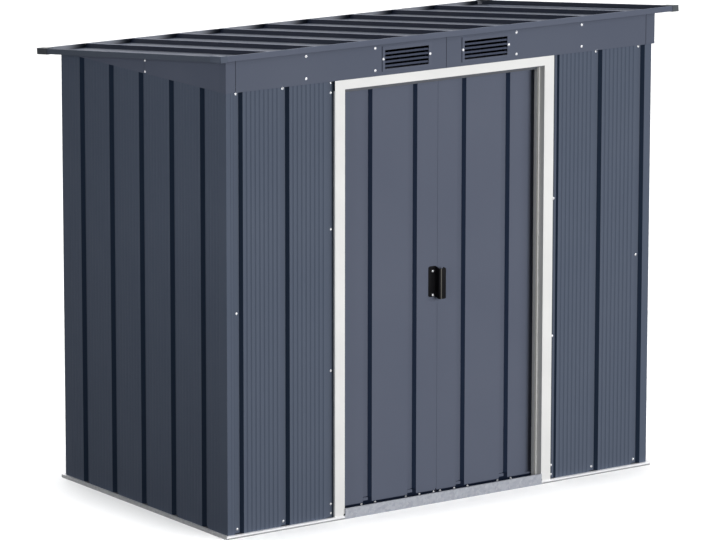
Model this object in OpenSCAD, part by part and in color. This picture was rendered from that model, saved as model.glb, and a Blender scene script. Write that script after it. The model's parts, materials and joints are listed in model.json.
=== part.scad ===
// Metal garden shed with a pent roof, two sliding door leaves and a louvred vent above each leaf.
// Folded sheet throughout: each piece is a bent line of sheet, drawn across and pulled along its length.
// +X points right seen from the front, +Y to the rear, +Z up. The origin is on the ground, under the
// middle of the roof. Sizes are in millimetres.

/* [Building] */
// Width over the wall sheets
wall_w = 1990; // [1850:1:2300]
// Depth over the wall sheets
wall_d = 1140; // [1000:1:1500]
// Height of the wall sheets
wall_h = 1677; // [1500:1:2000]
// Rise of the roof from the rear wall to the front wall
roof_rise = 126; // [120:1:200]

/* [Wall sheets] */
// Thickness of the profiled sheets
sheet_t = 0.8; // [0.5:0.1:1.2]
// Depth of a groove
groove_depth = 15; // [10:0.5:18]
// Width of a groove at the face of the sheet
groove_mouth = 41; // [34:1:46]
// Width of a groove at its floor
groove_floor = 22; // [14:1:28]
// Depth of the groove beside the door frame
frame_groove = 8; // [4:0.5:12]
// Distance between grooves
groove_pitch = 208.5; // [195:0.5:225]
// Distance from a corner to the nearest groove of a wide wall
corner_flat = 53; // [48:1:65]
// Distance between the fine beads on the flats
bead_pitch = 19.5; // [15:0.5:30]
// Width of a bead
bead_w = 8; // [4:0.5:10]
// Depth of a bead
bead_depth = 1.4; // [0.4:0.1:2]
// How far the wall sheets reach up behind the fascia and gables
wall_lap = 12; // [8:1:16]

/* [Base] */
// Height of the ledge that the wall sheets stand on
rail_h = 12; // [8:1:16]
// Reach of the ledge beyond the wall sheets
rail_reach = 12; // [8:1:20]
// Height of the upstand behind the wall sheets
upstand_h = 30; // [20:1:45]
// Thickness of the rails, tracks and posts
rail_t = 1.5; // [1:0.1:2]
// Height of the sill in front of the leaves
sill_h = 41; // [34:1:46]
// Depth of the fold along the top of the sill
sill_fold = 7; // [4:1:10]

/* [Door frame] */
// Width of the doorway between the jamb faces
doorway_w = 935; // [880:1:960]
// Width of a jamb face
jamb_face = 45; // [40:0.5:56]
// Height of the header face
header_face = 39; // [32:1:46]
// How far the frame stands in front of the wall sheets
frame_proud = 9; // [6:0.5:9.5]
// Depth of the frame from its face to its stop
frame_return = 30; // [26:1:32]
// Width of the stop inside the frame
frame_stop = 13.5; // [10:0.5:16]
// Depth of the frame behind its stop
stop_depth = 17; // [12:1:18]
// Thickness of the frame sheet
frame_t = 1.2; // [0.8:0.1:1.5]

/* [Door leaves] */
// Depth of the leaf faces behind the face of the wall
leaf_set = 46; // [45:1:54]
// Gap between the closed leaves
leaf_gap = 5; // [5:0.5:8]
// How far a leaf reaches behind the frame's stop
leaf_lap = 16; // [12:1:24]
// Distance from the middle to the first groove of a leaf
leaf_groove = 115; // [90:1:135]
// Width of the valley along the outer edge of a leaf
leaf_valley = 30.5; // [26:0.5:34]
// Height of the lower edge of the leaf sheet
leaf_low = 40; // [38:1:46]
// How far a leaf reaches up behind the header
leaf_rise = 10; // [6:1:16]
// Height of the rail along the foot of a leaf
foot_rail_h = 22; // [20:1:24]
// Depth of the rail along the foot of a leaf
foot_rail_d = 20; // [18:0.5:24]
// Height of the rail along the top of a leaf
top_rail_h = 42; // [36:1:60]
// Height of the plug that closes each groove above the foot rail
plug_h = 12; // [8:1:18]
// Clearance round the plug
plug_room = 0.5; // [0.2:0.1:1]

/* [Runners] */
// Length of a runner
runner_len = 40; // [30:1:60]
// Thickness of the plate of a hanger
hanger_t = 4; // [3:0.5:6]
// Reach of the hook of a hanger behind the leaf's top rail
hook_reach = 24.7; // [20:0.1:30]
// Distance from the top of a leaf up to its hook
hook_up = 12; // [8:1:16]
// Height of the fin that guides the foot of the leaves
fin_h = 30; // [28:0.5:33]
// Thickness of the fin
fin_t = 2; // [1.5:0.1:3]
// Width of the slot that runs over the fin
slot_w = 6; // [5:0.5:8]
// Running clearance where a runner is carried
running_gap = 0.4; // [0.2:0.1:0.8]
// Height of the top track above the leaves
track_up = 35; // [30:1:45]
// Depth of the lip that carries the hooks
track_lip = 12; // [10:1:16]
// Depth of the foot track behind the fin
track_foot = 16; // [12:1:24]
// Clearance in front of the tip of a hook
hook_room = 2.5; // [1.5:0.1:5]
// Clearance at the ends of the tracks and top rails
end_room = 3; // [2:0.5:6]

/* [Pull] */
// Height of the pull
pull_h = 125; // [90:1:160]
// Height of the middle of the pull above the ground
pull_z = 850; // [700:1:1000]
// Width of the flange that is screwed to the leaf
pull_flange = 32; // [26:1:40]
// Distance from the seam to the web of the pull
pull_web = 8; // [5:0.5:14]
// How far the grip stands in front of the leaf
pull_reach = 31; // [26:1:34]
// Width of the grip
pull_grip = 34; // [28:1:44]
// Thickness of the pull
pull_t = 2.5; // [2:0.1:4]
// Corner radius of the pull
pull_r = 8; // [4:0.5:12]

/* [Roof] */
// Overhang in front of the front wall
front_overhang = 75; // [50:1:120]
// Overhang behind the rear wall
rear_overhang = 58; // [40:1:100]
// Overhang beyond each side wall
side_overhang = 70; // [40:1:100]
// Height of a roof rib
rib_h = 15.5; // [12:0.5:24]
// Width of a rib at its base
rib_base = 40; // [32:1:50]
// Width of a rib along its crest
rib_crest = 20; // [14:1:26]
// Thickness of the trim along the roof edges
trim_t = 1.2; // [0.8:0.1:2]
// How far the trim folds in over the ribs
trim_lip = 10; // [6:1:16]
// How far the trim hangs below the roof sheets
trim_drop = 3; // [2.5:0.5:12]
// How far the trim folds in under the roof sheets
trim_flange = 15; // [8:1:22]
// Length of a corner cap along the front or rear edge
cap_front = 27; // [20:1:60]
// Length of a corner cap along a side edge
cap_side = 70; // [40:1:90]
// Thickness of a corner cap
cap_t = 2; // [1:0.5:4]
// Width of the beam under the roof
beam_w = 24; // [18:1:36]
// Height of the beam under the roof
beam_h = 40; // [30:1:46]
// Height of the rails along the tops of the walls
top_angle_h = 40; // [30:1:60]
// Width of the rails along the tops of the walls
top_angle_w = 25; // [18:1:40]

/* [Fascia and gables] */
// How far the fascia stands in front of the wall sheets
fascia_proud = 10; // [9.5:0.5:14]
// How far the gables stand outside the wall sheets
gable_proud = 7; // [5:0.5:12]
// Length of each leg of a fascia corner
corner_leg = 42; // [30:1:60]
// Height at which a gable ends towards the rear
gable_tail = 7; // [5:0.5:12]
// Joint between the two halves of a gable and of the fascia
gable_joint = 1; // [0.6:0.1:2]
// Distance of a gable's joint from its middle, towards the front
gable_seam = 29; // [0:1:60]
// Joint between the fascia and its corners
corner_joint = 2; // [1:0.1:3]

/* [Vents] */
// Distance from the middle to the middle of a vent
vent_x = 185; // [150:1:300]
// Height of the middle of the louvres above the lower edge of the fascia
vent_up = 59.5; // [55:0.5:64]
// Width of the louvred opening
louvre_w = 202; // [150:1:260]
// Height of the louvred opening
louvre_h = 71.5; // [50:0.5:73]
// Width of the plate beside the louvres
vent_side = 14; // [10:0.5:20]
// Height of the plate under the louvres
vent_foot = 9; // [6:0.5:14]
// Height of the plate over the louvres
vent_head = 14.5; // [8:0.5:16]
// Number of louvre blades
louvre_blades = 4; // [3:1:6]
// Depth of a louvre blade
blade_d = 6; // [5:0.5:8.5]
// Thickness of a vent plate and its blades
vent_t = 1.5; // [1:0.1:2.5]
// Room round the louvres in the fascia
vent_room = 3; // [2:0.5:6]
// How far the blades reach into the plate at each end
blade_seat = 1; // [0.5:0.1:2]

/* [Hidden] */
FRONT = "front";
RIGHT = "right";
REAR = "rear";
LEFT = "left";
anthracite = [0.36, 0.38, 0.44];
frame_white = [0.93, 0.93, 0.92];
galvanised = [0.7, 0.72, 0.76];
black = [0.06, 0.06, 0.07];
cap_grey = [0.2, 0.22, 0.22];

// Heights and depths that several pieces share
eave_z = rail_h + wall_h;
slope = atan(roof_rise / wall_d);
header_z = eave_z - header_face;
sheet_back = groove_depth + sheet_t;
end_flat = corner_flat - groove_mouth / 2;
upstand_back = sheet_back + rail_t;
door_half = doorway_w / 2;
jamb_out = door_half + jamb_face;
stop_v = frame_return - frame_proud;
stop_half = door_half - frame_stop;

// Leaves and their runners, seen from above
leaf_half = stop_half + leaf_lap;
leaf_top = header_z + leaf_rise;
leaf_back = leaf_set + sheet_back;
foot_low = leaf_low - foot_rail_h;
fin_v = leaf_set + foot_rail_d / 2;
leaf_grooves = [leaf_groove, leaf_groove + groove_pitch];
flank_w = (groove_mouth - groove_floor) / 2;
valley_start = leaf_half - leaf_valley - flank_w;
leaf_rail_back = leaf_back + rail_t;
hook_z = leaf_top + rail_t + hook_up;
hook_tip = leaf_rail_back + hook_reach;
track_back = hook_tip + hook_room + rail_t;
track_z = leaf_top + track_up;
track_half = wall_w / 2 - upstand_back - end_room;

// Roof, in a frame that lies along the slope with its origin over the rear wall
crest_n = rib_h + sheet_t + trim_t;
roof_w = wall_w + 2 * side_overhang;
roof_front = -(wall_d + front_overhang) / cos(slope);
roof_rear = rear_overhang / cos(slope);
roof_len = roof_rear - roof_front;
roof_mid = (roof_front + roof_rear) / 2;
rib_count = floor((roof_w / 2 - trim_lip - rib_base) / groove_pitch);
seam_rib = floor(rib_count / 2) * groove_pitch;

// The walls sit off the middle, so that the origin is under the middle of the roof with its caps
front_reach = front_overhang + cap_t * cos(slope) + (trim_drop + cap_t) * sin(slope);
rear_reach = rear_overhang + cap_t * cos(slope) + (crest_n + cap_t) * sin(slope);
walls_y = (front_reach - rear_reach) / 2;

// Larger than the whole shed
span = 2 * (wall_w + wall_d + wall_h);

// Grooves of the walls, from their corners or from their middles
wide_count = floor((wall_w / 2 - corner_flat - groove_mouth / 2) / groove_pitch);
wide_grooves = [for (i = [wide_count : -1 : 0]) wall_w / 2 - corner_flat - i * groove_pitch];
front_grooves = [for (u = wide_grooves) if (u - groove_mouth / 2 > door_half + frame_t) u];
rear_seam = wide_grooves[min(1, wide_count)];
rear_middle = [for (u = wide_grooves) if (u <= rear_seam) u];
rear_outer = [for (u = wide_grooves) if (u >= rear_seam) u];
side_count = floor((wall_d / 2 - groove_mouth) / groove_pitch);
side_grooves = [for (i = [0 : side_count]) i * groove_pitch];

// Whether a side runs across the width of the shed
function is_wide(side) = side == FRONT || side == REAR;

// The turn from the front to a side, in degrees
function turn_of(side) = (is_wide(side) ? 0 : 90) + (side == REAR || side == LEFT ? 180 : 0);

// Unit normal to the left of the way from a to b
function left_of(a, b) = [a.y - b.y, b.x - a.x] / norm(b - a);

// An open line moved sideways by t, to its left where t is positive, with its corners kept sharp
function moved(line, t) = [
    for (i = [0 : len(line) - 1])
        let (
            last = len(line) - 1,
            before = left_of(line[max(i - 1, 0)], line[max(i, 1)]),
            after = left_of(line[min(i, last - 1)], line[min(i + 1, last)])
        )
        line[i] + t * (before + after) / (1 + before * after)
];

function reversed(list) = [for (i = [len(list) - 1 : -1 : 0]) list[i]];

// Fine beads across the flat from a to b, none on a narrow flat
function beads(a, b) =
    let (
        count = b - a < 3 * bead_pitch ? 0 : floor((b - a) / bead_pitch - 0.5),
        first = (a + b - (count - 1) * bead_pitch) / 2
    )
    [
        for (i = [0 : 1 : count - 1])
            let (u = first + i * bead_pitch)
            each [[u - bead_w / 2, 0], [u, bead_depth], [u + bead_w / 2, 0]]
    ];

// One groove, or half of it where the sheet from u0 to u1 ends in its middle
function groove(c, u0, u1, mouth, bottom, depth) = concat(
    c - u0 > bottom / 2 ? [[c - mouth / 2, 0], [c - bottom / 2, depth]] : [[c, depth]],
    u1 - c > bottom / 2 ? [[c + bottom / 2, depth], [c + mouth / 2, 0]] : [[c, depth]]
);

// Line across a profiled sheet from u0 to u1, with grooves at the centres and plain flats at its edges,
// where the first groove may have a floor width and depth of its own
function profile(u0, u1, centres, mouth, bottom, depth, beaded, first) =
    let (
        last = len(centres) - 1,
        cut0 = centres[0] - u0 <= bottom / 2,
        cut1 = u1 - centres[last] <= bottom / 2
    )
    concat(
        cut0 ? [] : [[u0, 0]],
        [
            for (i = [0 : last])
                let (
                    flat0 = i > 0 ? centres[i - 1] + mouth / 2 : u0 + end_flat,
                    own = i > 0 || is_undef(first) ? [bottom, depth] : first
                )
                each concat(
                    beaded && !(i == 0 && cut0) ? beads(flat0, centres[i] - mouth / 2) : [],
                    groove(centres[i], u0, u1, mouth, own[0], own[1])
                )
        ],
        beaded && !cut1 ? beads(centres[last] + mouth / 2, u1 - end_flat) : [],
        cut1 ? [] : [[u1, 0]]
    );

function wall_line(u0, u1, centres, first) =
    profile(u0, u1, centres, groove_mouth, groove_floor, groove_depth, true, first);

function mirrored(list) = [for (u = reversed(list)) -u];

// A strip of sheet bent along a line, lying t to the left of it, or to the right where t is negative
module bent(line, t) {
    polygon(concat(line, reversed(moved(line, t))));
}

// Stands a wall's own frame on its outer face: u along the wall, v inwards, z up
module wall_frame(side) {
    half = is_wide(side) ? wall_d / 2 : wall_w / 2;
    translate([0, walls_y, 0]) rotate(turn_of(side)) translate([0, -half, 0]) children();
}

// Pulls a section drawn in v and z along u, from u0 to u1
module pulled(u0, u1) {
    translate([u0, 0, 0]) rotate([90, 0, 90]) linear_extrude(u1 - u0) children();
}

// Cuts both ends of an edge piece at 45 degrees, with its outer line at -outer and its inner line at inner
module mitred(length, outer, inner) {
    corners = [
        [-length / 2 - outer, -outer], [length / 2 + outer, -outer],
        [length / 2 - inner, inner], [-length / 2 + inner, inner]
    ];
    intersection() {
        children();
        translate([0, 0, -span / 2]) linear_extrude(span) polygon(corners);
    }
}

// Lies along the roof: x across, y up the slope towards the rear, z square to the sheets
module roof_frame() {
    translate([0, walls_y + wall_d / 2, eave_z]) rotate([-slope, 0, 0]) children();
}

// Stands on one edge of the roof: u along the edge, v inwards
module roof_edge(side) {
    half = is_wide(side) ? roof_len / 2 : roof_w / 2;
    roof_frame() translate([0, roof_mid, 0]) rotate(turn_of(side)) translate([0, -half, 0]) children();
}

// Cuts pieces off along the underside of the roof sheets
module under_roof() {
    intersection() {
        children();
        roof_frame() translate([-span / 2, -span / 2, -span]) cube([span, span, span]);
    }
}

module both_sides() {
    children();
    mirror([1, 0, 0]) children();
}

module left_hand() {
    mirror([1, 0, 0]) children();
}

// Base

module base_rail(side) {
    length = is_wide(side) ? wall_w : wall_d;
    section = [
        [-rail_reach, 0], [-rail_reach, rail_h],
        [sheet_back, rail_h], [sheet_back, rail_h + upstand_h]
    ];
    color(galvanised) wall_frame(side) mitred(length, rail_reach, upstand_back)
        pulled(-span / 2, span / 2) bent(section, -rail_t);
}

module doorway_cut() {
    half = door_half + frame_t;
    wall_frame(FRONT) translate([-half, 0, rail_h]) cube([2 * half, leaf_set, upstand_h + rail_h]);
}

module base_rail_front() {
    color(galvanised) difference() {
        base_rail(FRONT);
        doorway_cut();
    }
}

module base_rail_rear() {
    base_rail(REAR);
}

module base_rail_left() {
    base_rail(LEFT);
}

module base_rail_right() {
    base_rail(RIGHT);
}

module door_sill() {
    front = -rail_reach - rail_t;
    section = [[front, 0], [front, sill_h], [front + sill_fold, sill_h]];
    color(galvanised) wall_frame(FRONT) pulled(-door_half, door_half) bent(section, -rail_t);
}

// Walls

module wall_sheet(side, line, top) {
    color(anthracite) under_roof() wall_frame(side) translate([0, 0, rail_h])
        linear_extrude(top - rail_h) bent(line, sheet_t);
}

module front_wall_right() {
    // The groove beside the door frame is shallower than the rest, with flanks as steep as theirs
    shallow = [groove_mouth - 2 * flank_w * frame_groove / groove_depth, frame_groove];
    line = wall_line(door_half + frame_t, wall_w / 2, front_grooves, shallow);
    wall_sheet(FRONT, line, eave_z + wall_lap);
}

module front_wall_left() {
    left_hand() front_wall_right();
}

module right_wall_front() {
    edge = wall_d / 2 - sheet_t;
    wall_sheet(RIGHT, wall_line(-edge, 0, mirrored(side_grooves)), eave_z + wall_lap);
}

module right_wall_rear() {
    edge = wall_d / 2 - sheet_t;
    wall_sheet(RIGHT, wall_line(0, edge, side_grooves), eave_z + wall_lap);
}

module left_wall_front() {
    left_hand() right_wall_front();
}

module left_wall_rear() {
    left_hand() right_wall_rear();
}

module rear_wall_middle() {
    centres = concat(mirrored(rear_middle), rear_middle);
    wall_sheet(REAR, wall_line(-rear_seam, rear_seam, centres), eave_z);
}

module rear_wall_left() {
    wall_sheet(REAR, wall_line(rear_seam, wall_w / 2, rear_outer), eave_z);
}

module rear_wall_right() {
    left_hand() rear_wall_left();
}

module corner_post(front) {
    leg = end_flat - 2 * sheet_t;
    corner = wall_w / 2 - sheet_t;
    line = [[corner - leg, sheet_t], [corner, sheet_t], [corner, sheet_t + leg]];
    color(galvanised) wall_frame(front ? FRONT : REAR) translate([0, 0, rail_h])
        linear_extrude(wall_h) bent(line, rail_t);
}

module corner_posts() {
    both_sides() {
        corner_post(true);
        corner_post(false);
    }
}

module top_angle(side, u0, u1) {
    section = [
        [sheet_back, eave_z - top_angle_h], [sheet_back, eave_z], [sheet_back + top_angle_w, eave_z]
    ];
    color(galvanised) wall_frame(side) pulled(u0, u1) bent(section, -rail_t);
}

module wall_top_rails() {
    rear_end = wall_d / 2 - sheet_back - top_angle_w - end_room;
    both_sides() top_angle(RIGHT, -wall_d / 2 + track_back + end_room, rear_end);
    top_angle(REAR, -wall_w / 2 + sheet_back, wall_w / 2 - sheet_back);
}

// Door frame and tracks

module door_jamb_right() {
    line = [
        [jamb_out, 0], [jamb_out, -frame_proud], [door_half, -frame_proud],
        [door_half, stop_v], [stop_half, stop_v], [stop_half, stop_v + stop_depth]
    ];
    color(frame_white) wall_frame(FRONT) translate([0, 0, rail_h])
        linear_extrude(header_z - rail_h) bent(line, -frame_t);
}

module door_jamb_left() {
    left_hand() door_jamb_right();
}

module door_header() {
    face = [[-frame_proud, eave_z], [-frame_proud, header_z]];
    soffit = [[-frame_proud, header_z], [stop_v + frame_t, header_z]];
    stop = [
        [stop_v, header_z + frame_t], [stop_v, header_z - frame_stop],
        [stop_v + stop_depth, header_z - frame_stop]
    ];
    color(frame_white) wall_frame(FRONT) {
        pulled(-jamb_out, jamb_out) bent(face, frame_t);
        pulled(-door_half, door_half) bent(soffit, frame_t);
        pulled(-stop_half, stop_half) bent(stop, frame_t);
    }
}

module top_track() {
    lip_z = hook_z - running_gap - rail_t;
    section = [
        [sheet_back, lip_z - track_lip], [sheet_back, track_z], [track_back, track_z],
        [track_back, lip_z], [track_back - track_lip, lip_z]
    ];
    color(galvanised) wall_frame(FRONT) pulled(-track_half, track_half) bent(section, -rail_t);
}

module foot_track() {
    color(galvanised) wall_frame(FRONT) pulled(-track_half, track_half) {
        bent([[upstand_back, rail_h], [upstand_back, 0], [fin_v + track_foot, 0]], rail_t);
        translate([fin_v - fin_t / 2, 0]) square([fin_t, fin_h]);
    }
}

// Fascia, gables and vents

module skirt(side, u0, u1, proud) {
    section = [[0, eave_z], [-proud, eave_z], [-proud, eave_z + 2 * roof_rise]];
    color(anthracite) under_roof() wall_frame(side) pulled(u0, u1) bent(section, -frame_t);
}

module fascia_right() {
    end = wall_w / 2 + gable_proud - corner_leg - corner_joint;
    color(anthracite) difference() {
        skirt(FRONT, gable_joint / 2, end, fascia_proud);
        wall_frame(FRONT)
            translate([
                vent_x - louvre_w / 2 - vent_room,
                -2 * fascia_proud,
                eave_z + vent_up - louvre_h / 2 - vent_room
            ])
            cube([louvre_w + 2 * vent_room, 2 * fascia_proud, louvre_h + 2 * vent_room]);
    }
}

module fascia_left() {
    left_hand() fascia_right();
}

module fascia_corners() {
    out = wall_w / 2 + gable_proud;
    folded = [
        [out - corner_leg, -fascia_proud], [out, -fascia_proud], [out, corner_leg - fascia_proud]
    ];
    inner = [[wall_w / 2, corner_leg - fascia_proud], [wall_w / 2, 0], [out - corner_leg, 0]];
    color(anthracite) both_sides() under_roof() wall_frame(FRONT) translate([0, 0, eave_z]) {
        linear_extrude(2 * roof_rise) bent(folded, frame_t);
        linear_extrude(frame_t) polygon(concat(folded, inner));
    }
}

module gable_right() {
    front = -wall_d / 2 + corner_leg - fascia_proud;
    tail = wall_d / 2 - gable_tail / tan(slope);
    skirt(RIGHT, front, -gable_seam - gable_joint / 2, gable_proud);
    skirt(RIGHT, -gable_seam + gable_joint / 2, tail, gable_proud);
}

module gable_left() {
    left_hand() gable_right();
}

module vent_right() {
    low = eave_z + vent_up - louvre_h / 2;
    slot_h = louvre_h / (2 * louvre_blades + 1);
    face = -fascia_proud - vent_t;
    color(anthracite) wall_frame(FRONT) {
        difference() {
            translate([vent_x - louvre_w / 2 - vent_side, face, low - vent_foot])
                cube([louvre_w + 2 * vent_side, vent_t, louvre_h + vent_foot + vent_head]);
            translate([vent_x - louvre_w / 2, 2 * face, low]) cube([louvre_w, -2 * face, louvre_h]);
        }
        pulled(vent_x - louvre_w / 2 - blade_seat, vent_x + louvre_w / 2 + blade_seat)
            for (i = [0 : louvre_blades - 1])
                let (z = low + (2 * i + 1) * slot_h)
                bent([[face, z], [face + blade_d, z + blade_d]], -vent_t);
    }
}

module vent_left() {
    left_hand() vent_right();
}

// Roof

module roof_sheet(u0, u1, ribs) {
    line = profile(u0, u1, ribs, rib_base, rib_crest, rib_h, false);
    color(anthracite) roof_frame() translate([0, roof_rear - trim_t, 0]) rotate([90, 0, 0])
        linear_extrude(roof_len - 2 * trim_t) bent(line, sheet_t);
}

module roof_sheet_middle() {
    inner = floor(rib_count / 2);
    roof_sheet(-seam_rib, seam_rib, [for (i = [-inner : inner]) i * groove_pitch]);
}

module roof_sheet_right() {
    ribs = [for (i = [floor(rib_count / 2) : rib_count]) i * groove_pitch];
    roof_sheet(seam_rib, roof_w / 2 - trim_t, ribs);
}

module roof_sheet_left() {
    left_hand() roof_sheet_right();
}

module roof_trim(side) {
    length = is_wide(side) ? roof_w : roof_len;
    section = [[trim_lip, crest_n], [0, crest_n], [0, -trim_drop], [trim_flange, -trim_drop]];
    color(anthracite) roof_edge(side) mitred(length, 0, trim_lip + trim_flange)
        pulled(-span / 2, span / 2) bent(section, trim_t);
}

module roof_trim_front() {
    roof_trim(FRONT);
}

module roof_trim_rear() {
    roof_trim(REAR);
}

module roof_trim_left() {
    roof_trim(LEFT);
}

module roof_trim_right() {
    roof_trim(RIGHT);
}

module roof_corner_cap(side) {
    height = crest_n + trim_drop;
    color(cap_grey) roof_edge(side) translate([roof_w / 2, 0, -trim_drop]) difference() {
        translate([-cap_front, -cap_t, -cap_t])
            cube([cap_front + cap_t, cap_side + cap_t, height + 2 * cap_t]);
        translate([-2 * cap_front, 0, 0]) cube([2 * cap_front, 2 * cap_side, height]);
    }
}

module roof_corner_caps() {
    both_sides() {
        roof_corner_cap(FRONT);
        roof_corner_cap(REAR);
    }
}

module roof_beam() {
    half = wall_w / 2 + gable_proud - frame_t;
    section = [[-beam_w / 2, -beam_h], [-beam_w / 2, 0], [beam_w / 2, 0], [beam_w / 2, -beam_h]];
    color(galvanised) roof_frame() translate([0, -wall_d / 2 / cos(slope), 0])
        pulled(-half, half) bent(section, -rail_t);
}

// Door leaves

module right_leaf_sheet() {
    grooves = [
        for (c = leaf_grooves)
            each groove(c, 0, leaf_half, groove_mouth, groove_floor, groove_depth)
    ];
    line = concat(
        [[leaf_gap / 2, groove_depth], [leaf_gap / 2, 0]],
        grooves,
        [[valley_start, 0], [valley_start + flank_w, groove_depth], [leaf_half, groove_depth]]
    );
    color(anthracite) wall_frame(FRONT) translate([0, leaf_set, leaf_low])
        linear_extrude(leaf_top - leaf_low) bent(line, sheet_t);
}

module right_leaf_top_rail() {
    section = [
        [leaf_set, leaf_top + rail_t], [leaf_rail_back, leaf_top + rail_t],
        [leaf_rail_back, leaf_top + rail_t - top_rail_h]
    ];
    color(galvanised) wall_frame(FRONT) pulled(leaf_gap / 2, leaf_half) bent(section, -rail_t);
}

// Fills a groove in front of the leaf sheet
module groove_plug(c) {
    mouth = groove_mouth - 2 * plug_room;
    bottom = groove_floor - 2 * plug_room;
    depth = groove_depth - plug_room;
    translate([c, leaf_set, leaf_low - rail_t]) linear_extrude(plug_h + rail_t)
        polygon([[-mouth / 2, 0], [mouth / 2, 0], [bottom / 2, depth], [-bottom / 2, depth]]);
}

module right_leaf_foot_rail() {
    back = leaf_set + foot_rail_d;
    section = [[leaf_set, foot_low], [leaf_set, leaf_low], [back, leaf_low], [back, foot_low]];
    color(black) wall_frame(FRONT) {
        pulled(leaf_gap / 2, leaf_half) bent(section, -rail_t);
        for (c = leaf_grooves) groove_plug(c);
    }
}

// A glide astride the fin of the foot track
module glide(c) {
    inside = foot_rail_d - 2 * rail_t;
    translate([c - runner_len / 2, leaf_set + rail_t, foot_low]) difference() {
        cube([runner_len, inside, foot_rail_h - rail_t]);
        translate([-runner_len, (inside - slot_w) / 2, -foot_low])
            cube([3 * runner_len, slot_w, fin_h + running_gap]);
    }
}

// A hanger whose hook rides on the lip of the top track
module hanger(c) {
    plate_low = leaf_top + rail_t - top_rail_h;
    translate([c - runner_len / 2, leaf_rail_back, 0]) {
        translate([0, 0, plate_low]) cube([runner_len, hanger_t, hook_z + hanger_t - plate_low]);
        translate([0, 0, hook_z]) cube([runner_len, hook_reach, hanger_t]);
    }
}

module right_leaf_runners() {
    color(black) wall_frame(FRONT) for (c = leaf_grooves) {
        glide(c);
        hanger(c);
    }
}

module left_leaf_sheet() {
    left_hand() right_leaf_sheet();
}

module left_leaf_top_rail() {
    left_hand() right_leaf_top_rail();
}

module left_leaf_foot_rail() {
    left_hand() right_leaf_foot_rail();
}

module left_leaf_runners() {
    left_hand() right_leaf_runners();
}

// A plate in u and z with its back at v, from u0 to u1, with rounded corners
module pull_plate(u0, u1, v) {
    translate([u0, v, pull_z - pull_h / 2]) rotate([90, 0, 0]) linear_extrude(pull_t) {
        translate([pull_r, 0]) square([u1 - u0 - 2 * pull_r, pull_h]);
        translate([0, pull_r]) square([u1 - u0, pull_h - 2 * pull_r]);
        for (x = [pull_r, u1 - u0 - pull_r], y = [pull_r, pull_h - pull_r])
            translate([x, y]) circle(pull_r, $fn = 48);
    }
}

module left_leaf_pull() {
    web_h = pull_h - 2 * pull_r;
    color(black) wall_frame(FRONT) {
        pull_plate(-pull_web - pull_flange, -pull_web, leaf_set);
        translate([-pull_web - pull_t, leaf_set - pull_reach, pull_z - web_h / 2])
            cube([pull_t, pull_reach, web_h]);
        pull_plate(-pull_web - pull_t, -pull_web - pull_t + pull_grip, leaf_set - pull_reach + pull_t);
    }
}

base_rail_front();
base_rail_rear();
base_rail_left();
base_rail_right();
door_sill();
front_wall_left();
front_wall_right();
left_wall_front();
left_wall_rear();
right_wall_front();
right_wall_rear();
rear_wall_left();
rear_wall_middle();
rear_wall_right();
corner_posts();
wall_top_rails();
door_jamb_left();
door_jamb_right();
door_header();
top_track();
foot_track();
fascia_left();
fascia_right();
fascia_corners();
gable_left();
gable_right();
vent_left();
vent_right();
roof_sheet_left();
roof_sheet_middle();
roof_sheet_right();
roof_beam();
roof_trim_front();
roof_trim_rear();
roof_trim_left();
roof_trim_right();
roof_corner_caps();
left_leaf_sheet();
left_leaf_top_rail();
left_leaf_foot_rail();
left_leaf_runners();
left_leaf_pull();
right_leaf_sheet();
right_leaf_top_rail();
right_leaf_foot_rail();
right_leaf_runners();
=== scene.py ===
# %% [markdown]
# # Dressing a small metal garden shed
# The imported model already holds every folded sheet, rail and door leaf at its real size, in metres.
# Blender adds what the construction leaves open: a camera, soft light, paint, zinc and plastic, and the
# small things that are too fine for the construction, such as screws. Each step below first says what
# the thing is on a real shed, then how it could be made, then why it is made the way it is.

# %% Load the frame
import json
import math

import bpy
from mathutils import Matrix, Vector


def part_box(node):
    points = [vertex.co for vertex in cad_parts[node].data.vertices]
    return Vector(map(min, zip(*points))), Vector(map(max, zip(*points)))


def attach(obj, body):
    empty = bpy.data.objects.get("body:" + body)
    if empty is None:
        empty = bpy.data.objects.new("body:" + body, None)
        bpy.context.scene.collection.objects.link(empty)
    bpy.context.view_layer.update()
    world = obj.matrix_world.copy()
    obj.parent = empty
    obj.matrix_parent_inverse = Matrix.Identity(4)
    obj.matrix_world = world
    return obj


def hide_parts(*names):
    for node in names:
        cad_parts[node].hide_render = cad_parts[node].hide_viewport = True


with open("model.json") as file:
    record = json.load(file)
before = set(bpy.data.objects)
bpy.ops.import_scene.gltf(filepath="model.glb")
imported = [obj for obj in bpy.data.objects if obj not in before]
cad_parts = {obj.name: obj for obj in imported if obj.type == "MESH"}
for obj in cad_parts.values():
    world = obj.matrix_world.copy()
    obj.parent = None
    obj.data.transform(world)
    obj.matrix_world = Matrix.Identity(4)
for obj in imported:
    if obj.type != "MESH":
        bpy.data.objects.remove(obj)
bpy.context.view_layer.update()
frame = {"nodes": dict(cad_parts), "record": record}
nodes = frame["nodes"]

# %% [markdown]
# ## Where the shed's faces are
# Screws and coats have to lie in the right places on the sheets. Their places could be typed in, but
# they would go wrong with the first change of a size, so they are read from the frame. A node's box
# gives its outermost faces. The fall of the roof isn't in any box, but every roof face carries it: the
# face of a roof sheet that points up most tells how far the roof leans. The grooves of a sheet are
# found by their floors: the points that lie deepest come in pairs, one pair to a floor.

# %% Measure the faces
MM = 0.001
SHEET_T = 0.8 * MM
TOUCHING = 0.01 * MM


def low(node):
    """Lowest corner of a node."""
    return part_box(node)[0]


def high(node):
    """Highest corner of a node."""
    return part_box(node)[1]


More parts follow.
